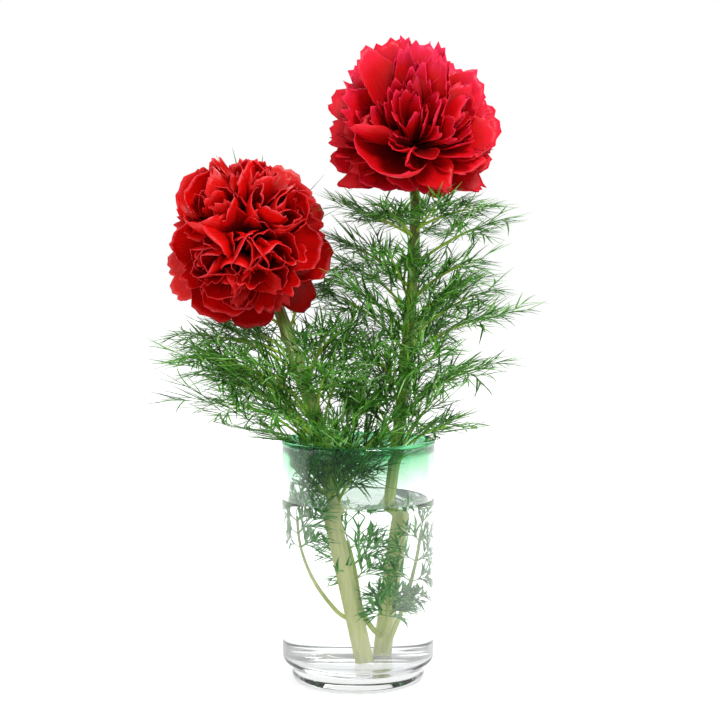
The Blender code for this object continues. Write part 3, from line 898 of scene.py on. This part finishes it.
def make_petal(name, seed, length, width, dish, curl, ruffle, teeth, claw=0.24, crown=0.80, twist=10.0, columns=10):
    """A petal of the given length and width. Dish and ruffle are shares of the width, and angles in degrees."""
    rng = random.Random(seed)
    waves = [(rng.uniform(2.0, 5.5), rng.uniform(0, 6.28), rng.uniform(0.4, 1.0)) for _ in range(3)]
    notches = [rng.uniform(0.0, 1.0) ** 1.4 for _ in range(columns + 1)]
    bm = bmesh.new()
    flat = bm.loops.layers.uv.new("petal")
    grid = []
    for i in range(PETAL_ROWS + 1):
        v = i / PETAL_ROWS
        breadth = claw + (1 - claw) * smooth_step(0.0, 0.66, v) - (1 - crown) * smooth_step(0.66, 1.0, v)
        row = []
        for j in range(columns + 1):
            u = 2 * j / columns - 1
            edge = 1 - 0.20 * u * u * v**2 - teeth * notches[j] * v**5
            span = length * v * edge
            lean = math.radians(curl) * v**1.6
            back = length * v * math.sin(lean) * 0.55
            across = 0.5 * width * breadth * math.sin(u * 1.35) / math.sin(1.35)
            hollow = dish * width * breadth * u * u * (0.35 + 0.65 * math.sin(math.pi * min(1, v * 1.02)))
            wave = sum(a * math.sin(f * u + p) for f, p, a in waves) * ruffle * width * v**2.2
            turn = math.radians(twist) * v
            x = back - hollow + wave
            y = across * math.cos(turn)
            x += across * math.sin(turn)
            z = span * (1 - 0.18 * abs(math.sin(lean)))
            row.append(bm.verts.new((x, y, z)))
        grid.append(row)
    for i in range(PETAL_ROWS):
        for j in range(columns):
            corners = ((i, j), (i, j + 1), (i + 1, j + 1), (i + 1, j))
            face = bm.faces.new([grid[a][b] for a, b in corners])
            for loop, (a, b) in zip(face.loops, corners):
                loop[flat].uv = (b / columns, a / PETAL_ROWS)
    mesh = bpy.data.meshes.new(name)
    bm.to_mesh(mesh)
    bm.free()
    petal = show(name, mesh)
    shell = petal.modifiers.new("thickness", "SOLIDIFY")
    shell.thickness = PETAL_THICK
    shell.offset = 0.0
    petal = baked(petal, name)
    petal.data.shade_smooth()
    return petal


SHELVES = []


def petal_shelf(name, kinds):
    """A collection of different petals to pick from. It isn't linked to the scene."""
    shelf = bpy.data.collections.new(name)
    SHELVES.append(shelf.name)
    for number, (length, width, *shape, more) in enumerate(kinds):
        petal = make_petal(f"{name}_{number}", number * 7 + len(name), length * MM, width * MM, *shape, **more)
        bpy.context.scene.collection.objects.unlink(petal)
        shelf.objects.link(petal)
    return shelf


# %% A tree that sets petals in a spiral
GOLDEN_TURN = math.radians(137.508)


def make_spiral_tree():
    tree = Growth("spiral of petals", {
        "Petals": "Collection", "Count": 10, "First lean": 90.0, "Last lean": 10.0, "First size": 1.0,
        "Last size": 1.0, "Base radius": 0.004, "Base rise": 0.010, "Lean jitter": 8.0, "Sway jitter": 10.0,
        "Size jitter": 0.08, "Open below": 2.0, "Seed": 1,
    })
    given = tree.given

    def drawn(kind, low, high, offset):
        """A random number of its own for every petal. The offset keeps one draw apart from the next."""
        pick = {"Min": low, "Max": high, "Seed": given["Seed"] + offset}
        return tree.node("FunctionNodeRandomValue", pick, "Value", data_type=kind)

    def either_way(amount, offset):
        return drawn("FLOAT", -1.0, 1.0, offset) * amount

    def between(label, share):
        return given[f"First {label}"] + (given[f"Last {label}"] - given[f"First {label}"]) * share

    def radians(degrees):
        return degrees * (math.pi / 180)

    index = tree.node("GeometryNodeInputIndex")
    share = index / (given["Count"] - 1).math("MAXIMUM", 1)
    azimuth = index * GOLDEN_TURN + either_way(0.12, 11)
    lean = radians(between("lean", share)) + radians(either_way(given["Lean jitter"], 12))
    size = between("size", share) * (1 + either_way(given["Size jitter"], 13))
    held = given["Base radius"] * lean.math("SINE")
    foot = tree.vector(held * azimuth.math("COSINE"), held * azimuth.math("SINE"), given["Base rise"] * share)
    points = tree.node("GeometryNodePoints", {"Count": given["Count"], "Position": foot})
    turn = tree.vector(radians(either_way(given["Sway jitter"], 14)), lean, azimuth)
    sheets = {"Collection": given["Petals"], "Separate Children": True, "Reset Children": True}
    sheets = tree.node("GeometryNodeCollectionInfo", sheets)
    kept = (0.0 - azimuth.math("SINE")).math("LESS_THAN", given["Open below"])
    petals = tree.node("GeometryNodeInstanceOnPoints", {
        "Points": points, "Instance": sheets, "Pick Instance": True, "Instance Index": drawn("INT", 0, 1000, 15),
        "Rotation": turn, "Scale": size, "Selection": kept,
    })
    mark = {"Geometry": petals, "Name": "tone", "Value": drawn("FLOAT", 0.0, 1.0, 16)}
    return tree.close(tree.node("GeometryNodeStoreNamedAttribute", mark, data_type="FLOAT", domain="INSTANCE"))


spiral_tree = make_spiral_tree()


# %% Where a flower head stands and faces
HEADS = {
    "tall": ((25.2, 1.5, 257.2), (0.02, -0.90, 0.42)),
    "short": ((-53.2, 6.0, 210.8), (-0.10, -0.94, 0.34)),
}


def head_frame(place, axis):
    """A frame at a place whose Z is the axis and whose Y is near the world's Y."""
    z = Vector(axis).normalized()
    near = Vector((0, 1, 0)) if abs(z.y) < 0.9 else Vector((0, 0, 1))
    x = near.cross(z).normalized()
    y = z.cross(x)
    turn = Matrix((x, y, z)).transposed().to_4x4()
    return Matrix.Translation(Vector(place) * MM) @ turn


def spiral(shelf, finish, head, count, leans, sizes, base, seed, more=None):
    """One spiral of petals in its place. Base is how far out they are held, and how far up the last one is."""
    values = {"Petals": shelf, "Finish": finish, "Count": count, "Seed": seed, **(more or {})}
    values.update({"First lean": leans[0], "Last lean": leans[1], "First size": sizes[0], "Last size": sizes[1]})
    values.update({"Base radius": base[0], "Base rise": base[1]})
    piece = grown(show("spiral", bpy.data.meshes.new("seed")), spiral_tree, "spiral", values)
    piece.data.transform(head)
    return piece


def joined(name, pieces):
    """Several mesh objects made one."""
    bpy.ops.object.select_all(action="DESELECT")
    for piece in pieces:
        piece.select_set(True)
    bpy.context.view_layer.objects.active = pieces[0]
    bpy.ops.object.join()
    pieces[0].name = pieces[0].data.name = name
    return pieces[0]


# %% Petal silk, with painted shade at the foot and a painted highlight at the tips
def make_petal_finish(name, vein_and_foot_shade, red, tip, highlight_start, highlight_heights):
    """The pale tips are a painted highlight, from the given start along the petal and between the given heights."""
    finish = Finish(name, Roughness=0.40, Specular_IOR_Level=0.18, Sheen_Weight=0.02, Sheen_Roughness=0.35,
                    Sheen_Tint=(1.0, 0.55, 0.65, 1), Subsurface_Weight=0.10,
                    Subsurface_Radius=(1.0, 0.12, 0.10), Subsurface_Scale=0.0025)
    flat = finish.node("ShaderNodeUVMap", out="UV", uv_map="petal")
    u, v = flat.part("X"), flat.part("Y")
    tone, place = finish.carried("tone"), finish.place()
    cloud = finish.noise(place, 90.0, 3.0)
    vein = finish.noise(finish.vector(u * 34.0, v * 1.6, tone * 9.0), 1.0)
    # Darker towards the petal's foot: painted shade where the petals crowd, with random tone on top. The veins take
    # the same dark red.
    body = finish.mix((v * 1.30 - 0.12 + (tone - 0.5) * 0.40 + (cloud - 0.5) * 0.3).clamped(), vein_and_foot_shade, red)
    body = finish.mix((vein - 0.45).clamped() * 0.9, body, vein_and_foot_shade)
    # Paler at the tips and rims, more so high on the head where the light falls: a painted highlight, and painted
    # light shining through the petal.
    edge = (v + (cloud - 0.5) * 0.16 + (vein - 0.5) * 0.16).stretch(highlight_start, 1.02) * (0.25 + tone * 0.75)
    lit_from_above = place.part("Z").stretch(*highlight_heights)
    return finish.paint(finish.mix(edge * (0.35 + lit_from_above * 0.65), body, tip), vein, 0.5, 0.0005)


tall_silk = make_petal_finish("petal silk, pink at the tips", (0.10, 0.0, 0.001), (0.60, 0.002, 0.004),
                              (0.79, 0.022, 0.095), 0.74, (0.255, 0.300))
short_silk = make_petal_finish("petal silk, scarlet", (0.09, 0.0, 0.0005), (0.60, 0.0015, 0.0008),
                               (0.80, 0.065, 0.090), 0.94, (0.150, 0.230))

# %% Petals to pick from: length and width in millimetres, dish, curl, ruffle, teeth, and what else sets it apart
guards = petal_shelf("guard", (
    (40, 30, 0.30, -14, 0.03, 0.08, {}),
    (38, 26, 0.24, 8, 0.03, 0.16, {}),
    (41, 22, 0.20, 20, 0.03, 0.14, {"twist": -14}),
))
broad = petal_shelf("broad", (
    (44, 24, 0.22, 10, 0.025, 0.14, {}),
    (43, 20, 0.18, -10, 0.03, 0.18, {"twist": 14}),
    (45, 22, 0.28, 4, 0.025, 0.16, {"twist": -10}),
    (42, 17, 0.20, 14, 0.04, 0.22, {"twist": 6}),
    (41, 14, 0.26, -16, 0.03, 0.12, {"twist": -18}),
))
cupped = petal_shelf("cupped", (
    (44, 30, 0.42, -26, 0.04, 0.08, {"crown": 0.86}),
    (43, 26, 0.46, -34, 0.05, 0.10, {"twist": 16}),
    (45, 22, 0.36, -14, 0.05, 0.14, {"twist": -18}),
    (41, 18, 0.40, 12, 0.06, 0.12, {"twist": 22}),
))
narrow = petal_shelf("narrow", (
    (44, 14, 0.28, -8, 0.04, 0.20, {"twist": 20, "columns": 8}),
    (42, 11, 0.34, 10, 0.05, 0.22, {"twist": -25, "columns": 8}),
    (45, 17, 0.24, -14, 0.04, 0.18, {"twist": 8, "columns": 8}),
))
sepals = petal_shelf("sepal", (
    (18, 15, 0.34, -30, 0.02, 0.0, {"claw": 0.6}),
    (22, 11, 0.30, -24, 0.02, 0.0, {"claw": 0.6, "twist": 8}),
))


def settle(piece, middle, above, below):
    """Stretches a head above its middle height and presses it below."""
    for vertex in piece.data.vertices:
        rise = vertex.co.z - middle
        vertex.co.z = middle + rise * (above if rise > 0 else below)


def plain_petals(label, ring):
    """The plain petals that a ring of real ones stands for."""
    if ring == "heart":
        return [f"petal_heart_{label}"]
    return sorted(n for n in frame["nodes"] if n.startswith(f"petal_{label}_{ring}"))


# %% The tall head
# A few petals are set one by one: where each is held, where its tip comes, which way its inner face looks,
# its width, all in millimetres, and then its dish, curl, teeth and what else sets it apart.
TALL_LONE = (
    ((26, -6, 256), (2, -39, 237), (0.1, -0.7, 0.7), 38, 0.34, -26, 0.05, {"claw": 0.5}),
    ((25, -2, 257), (20, -24, 239), (0.0, -0.9, 0.4), 21, 0.18, 6, 0.10, {"claw": 0.6}),
    ((28, -2, 257), (33, -22, 238), (0.1, -0.9, 0.4), 20, 0.18, 8, 0.12, {"claw": 0.6}),
    ((28, -16, 257), (32, -36, 248), (0.1, -0.8, 0.5), 15, 0.30, -14, 0.08, {"claw": 0.6}),
    ((25, -16, 258), (16, -38, 252), (0.0, -0.7, 0.7), 13, 0.30, -14, 0.08, {"claw": 0.6}),
    ((27, -18, 256), (19, -42, 247), (0.9, -0.3, 0.2), 11, 0.42, -10, 0.04, {"crown": 0.2}),
    ((29, -8, 256), (41, -38, 238), (-0.3, -0.8, 0.4), 19, 0.20, 14, 0.20, {"crown": 0.4}),
    ((31, -4, 255), (62, -14, 238), (0.0, -0.8, 0.5), 22, 0.18, 8, 0.16, {"crown": 0.3}),
    ((26, -4, 255), (-10, -12, 242), (0.0, -0.8, 0.5), 21, 0.20, 10, 0.16, {"crown": 0.35}),
    ((26, -12, 259), (-2, -42, 259), (0.2, 0.7, 0.6), 13, 0.30, -18, 0.05, {"crown": 0.6}),
    ((31, -8, 260), (64, -26, 264), (0.3, -0.8, 0.2), 26, 0.16, 10, 0.16, {}),
    ((31, -6, 258), (59, -28, 250), (0.2, -0.9, 0.3), 26, 0.18, 6, 0.18, {}),
    ((30, -6, 262), (58, -22, 283), (0.4, -0.8, 0.0), 25, 0.18, 12, 0.16, {}),
)
LONE_RUFFLE = 0.03
CURL_GIVE = 1.04


def lone_petal(number, foot, tip, face, width, dish, curl, teeth, more):
    """One petal between two points, turned so that its inner face looks the given way."""
    foot, tip = Vector(foot) * MM, Vector(tip) * MM
    up = (tip - foot).normalized()
    inner = Vector(face)
    inner = (inner - up * inner.dot(up)).normalized()
    length = (tip - foot).length * CURL_GIVE
    petal = make_petal("lone", 300 + number, length, width * MM, dish, curl, LONE_RUFFLE, teeth, **more)
    turn = Matrix((-inner, up.cross(-inner), up)).transposed().to_4x4()
    petal.data.transform(Matrix.Translation(foot) @ turn)
    petal.data.materials.append(tall_silk)
    tone = [random.Random(number).random()] * len(petal.data.vertices)
    petal.data.attributes.new("tone", "FLOAT", "POINT").data.foreach_set("value", tone)
    return petal


# Each ring: its petals, how many, how far the first and last lean, their sizes, how far out they are held and how
# far up the last one is, the seed, and the rest.
TALL_RINGS = {
    "guard": (guards, 12, (106, 97), (0.95, 0.95), (0.004, 0.002), 3, {"Lean jitter": 6.0}),
    "outer": (broad, 40, (99, 74), (0.88, 0.92), (0.004, 0.008), 5, {"Open below": 0.62}),
    "inner": (broad, 48, (78, 42), (0.93, 0.88), (0.004, 0.010), 8, {"Open below": 0.25}),
    "heart": (narrow, 40, (50, 12), (0.90, 0.62), (0.005, 0.008), 12, {"Open below": 0.60}),
}
TALL_FOCUS = 0.262
tall_frame = head_frame(*HEADS["tall"])
for ring, (shelf, *values) in TALL_RINGS.items():
    piece = spiral(shelf, tall_silk, tall_frame, *values)
    settle(piece, TALL_FOCUS, 1.30, 0.62)
    if ring == "outer":
        piece = joined("petals", [piece, *(lone_petal(n, *row) for n, row in enumerate(TALL_LONE))])
    piece.name = piece.data.name = f"petals_tall_{ring}"
    stand_for(piece, "petal_red", *plain_petals("tall", ring))

# %% [markdown]
# Behind each head sit the cup that holds it and the sepals. The outermost sepals of this peony are half way to
# being leaves: thin green threads that run out behind the petals, so that their tips show past the edge.

# %% The cup and the sepals
def make_sepal_finish():
    finish = Finish("sepal green, flushed red", Roughness=0.5, Specular_IOR_Level=0.35)
    v = finish.node("ShaderNodeUVMap", out="UV", uv_map="petal").part("Y")
    cloud = finish.noise(finish.place(), 160.0, 3.0)
    green = finish.mix(cloud, (0.06, 0.16, 0.02), (0.16, 0.30, 0.05))
    flushed = finish.mix((v + cloud - 0.5).stretch(0.6, 1.1), green, (0.28, 0.03, 0.03))
    return finish.paint(flushed, cloud, 0.3, 0.0003)


sepal_finish = make_sepal_finish()
CUP_OUTLINE = [(0.0, 3.0), (3.0, 2.5), (4.2, 0.5), (3.8, -3.0), (2.6, -7.0), (0.0, -7.5)]
THREAD_POINTS = 7


def make_calyx(label, head, thread_angles, thread_length, seed):
    """The cup, six sepals and green threads at the given angles round the head, from the right towards the top."""
    rng = random.Random(seed)
    turn = head.to_3x3()
    place, axis, side = head @ Vector(), turn @ Vector((0, 0, 1)), turn @ Vector((1, 0, 0))
    cup = turned("cup", [(r * MM, z * MM) for r, z in CUP_OUTLINE], False, 32)
    cup.data.transform(head)
    cup.data.shade_smooth()
    cup.data.materials.append(stem_finish)
    foot = head @ Matrix.Translation((0, 0, -2 * MM))
    ring = spiral(sepals, sepal_finish, foot, 6, (112, 92), (1.0, 0.8), (0.0035, 0.001), seed)
    lines = []
    for angle in thread_angles:
        out = turned_about(side, axis, angle)
        out = turned_about(out, out.cross(axis), rng.uniform(-10, -4))
        length = thread_length * rng.uniform(0.95, 1.05)
        way = thread(place + out * 3 * MM, out, axis, length, (1.0 * MM, 0.6 * MM), 8, 0, THREAD_POINTS)
        tone = rng.random()
        lines.append([(p, thick * min(1, 2.2 * (1 - i / THREAD_POINTS) + 0.15), 0.6, tone, 0.0)
                      for i, (p, _, _, thick) in enumerate(way)])
    values = {"Flatness": 0.3, "Groove": 0.2, "Finish": leaf_finish}
    threads = grown(lines_object("sepal threads", lines), leaf_tree, "threads", values)
    piece = joined(f"calyx_cup_{label}", [cup, ring, threads])
    stand_for(piece, "sepal_green", f"calyx_{label}")


make_calyx("tall", tall_frame, (208, 240, 300, 332), 0.036, 61)

# %% [markdown]
# ## The short head
# The lower flower is fully double and faces the viewer: several small rosettes of ruffled petals crowd within one
# ring of broad guard petals. One even spiral would read as a dahlia, so the head is made of six small spirals. Each
# stands off the middle of the head and leans away from it, and their petals run into each other the way they do on a
# crowded flower. Its reds are deeper and warmer than the tall head's, and the pale rims on its petals are a painted
# highlight.

# %% The short head: six rosettes within a ring of guards
# Each rosette: where its foot is across the head, in millimetres, how many petals it has, their size and the seed.
ROSETTES = {
    "inner": (((-8, 6), 15, 0.84, 4), ((4, 13), 14, 0.78, 9)),
    "outer": (((13, 5), 15, 0.80, 14), ((-8, -12), 14, 0.78, 19)),
    "heart": (((9, -11), 15, 0.78, 25), ((0, -18), 12, 0.74, 33)),
}
ROSETTE_SPREAD = 2.6
SHORT_MIDDLE = 0.2105
SHORT_LIFT = 1.10
short_frame = head_frame(*HEADS["short"])


def rosette(spot, count, size, seed):
    """A small spiral that stands off the head's axis and leans away from it."""
    x, y = spot
    axis = Vector((x * ROSETTE_SPREAD, y * ROSETTE_SPREAD, 40)).normalized()
    foot = short_frame @ head_frame((x * 0.4, y * 0.4, 12), axis)
    return spiral(cupped, short_silk, foot, count, (62, 4), (size, size * 0.80), (0.003, 0.006), seed)


make_calyx("short", short_frame, (126, 108, 99, 84, 47, 26), 0.054, 67)
piece = spiral(guards, short_silk, short_frame, 16, (100, 82), (0.98, 1.0), (0.004, 0.006), 31)
piece.name = "petals_short_guard"
short_rings = {"guard": piece}
for ring, rows in ROSETTES.items():
    short_rings[ring] = joined(f"petals_short_{ring}", [rosette(*row) for row in rows])
for ring, piece in short_rings.items():
    settle(piece, SHORT_MIDDLE, SHORT_LIFT, 1.0)
    stand_for(piece, "petal_red", *plain_petals("short", ring))

# %% Clear the shelves
for shelf in list(bpy.data.collections):
    if shelf.name in SHELVES:
        for petal in list(shelf.objects):
            bpy.data.objects.remove(petal)
        bpy.data.collections.remove(shelf)
